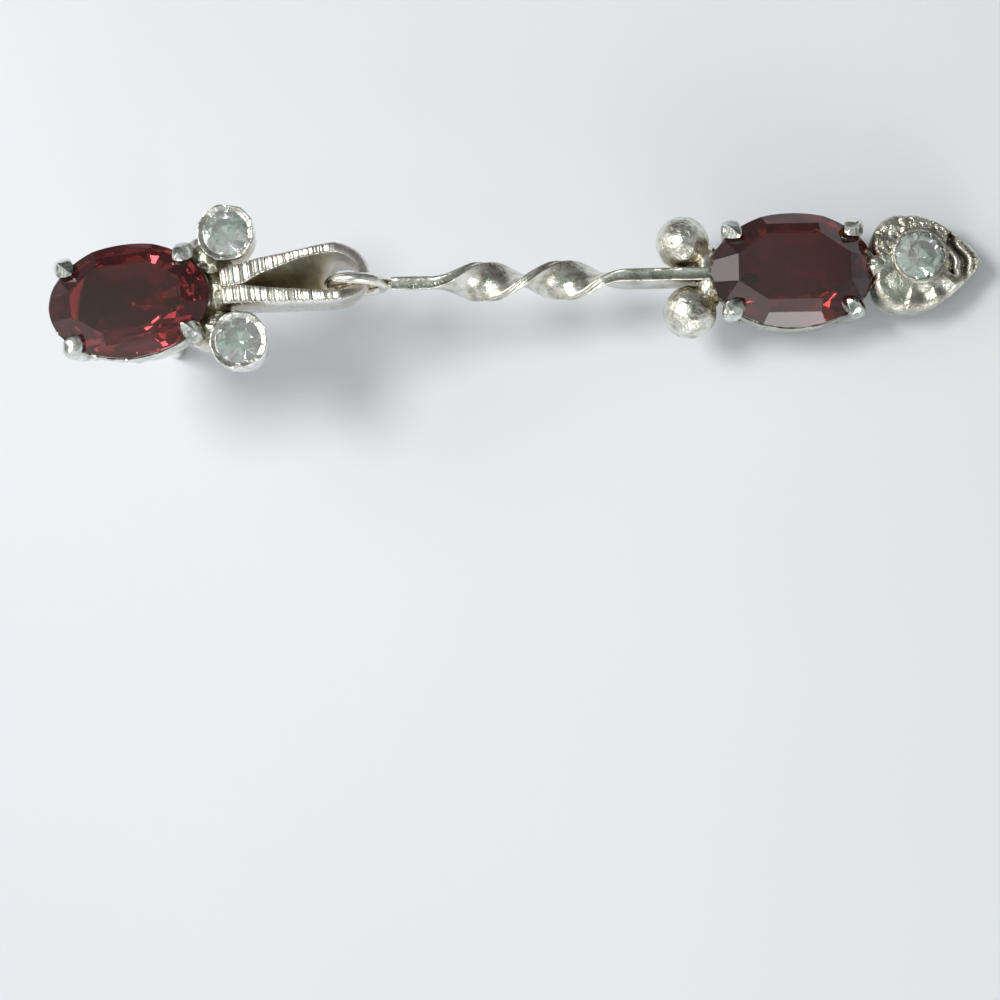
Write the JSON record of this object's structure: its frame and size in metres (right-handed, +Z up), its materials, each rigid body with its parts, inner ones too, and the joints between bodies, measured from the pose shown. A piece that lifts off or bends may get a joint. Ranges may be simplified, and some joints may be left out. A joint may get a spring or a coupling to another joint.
{
  "type": "stud earring with a drop",
  "caption": "Silver stud earring with a rigid drop: claw-set oval red stones, small round clear stones, a teardrop loop, a twisted bar and a little heart.",
  "frame": {"origin": "middle of the earring's footprint, on the surface that it lies on", "axes": "+X along the drop from the stud to the heart, +Z up, away from the surface"},
  "size_m": [0.0392, 0.0074, 0.0122],
  "materials": {
    "silver": "cast and softly polished silver",
    "garnet": "polished dark red stone",
    "clear_stone": "polished clear stone"
  },
  "bodies": {
    "root": {"stud_frame": "silver", "stud_garnet": "garnet", "upper_side_stone": "clear_stone", "lower_side_stone": "clear_stone", "drop_frame": "silver", "drop_garnet": "garnet", "heart_stone": "clear_stone"}
  },
  "joints": []
}
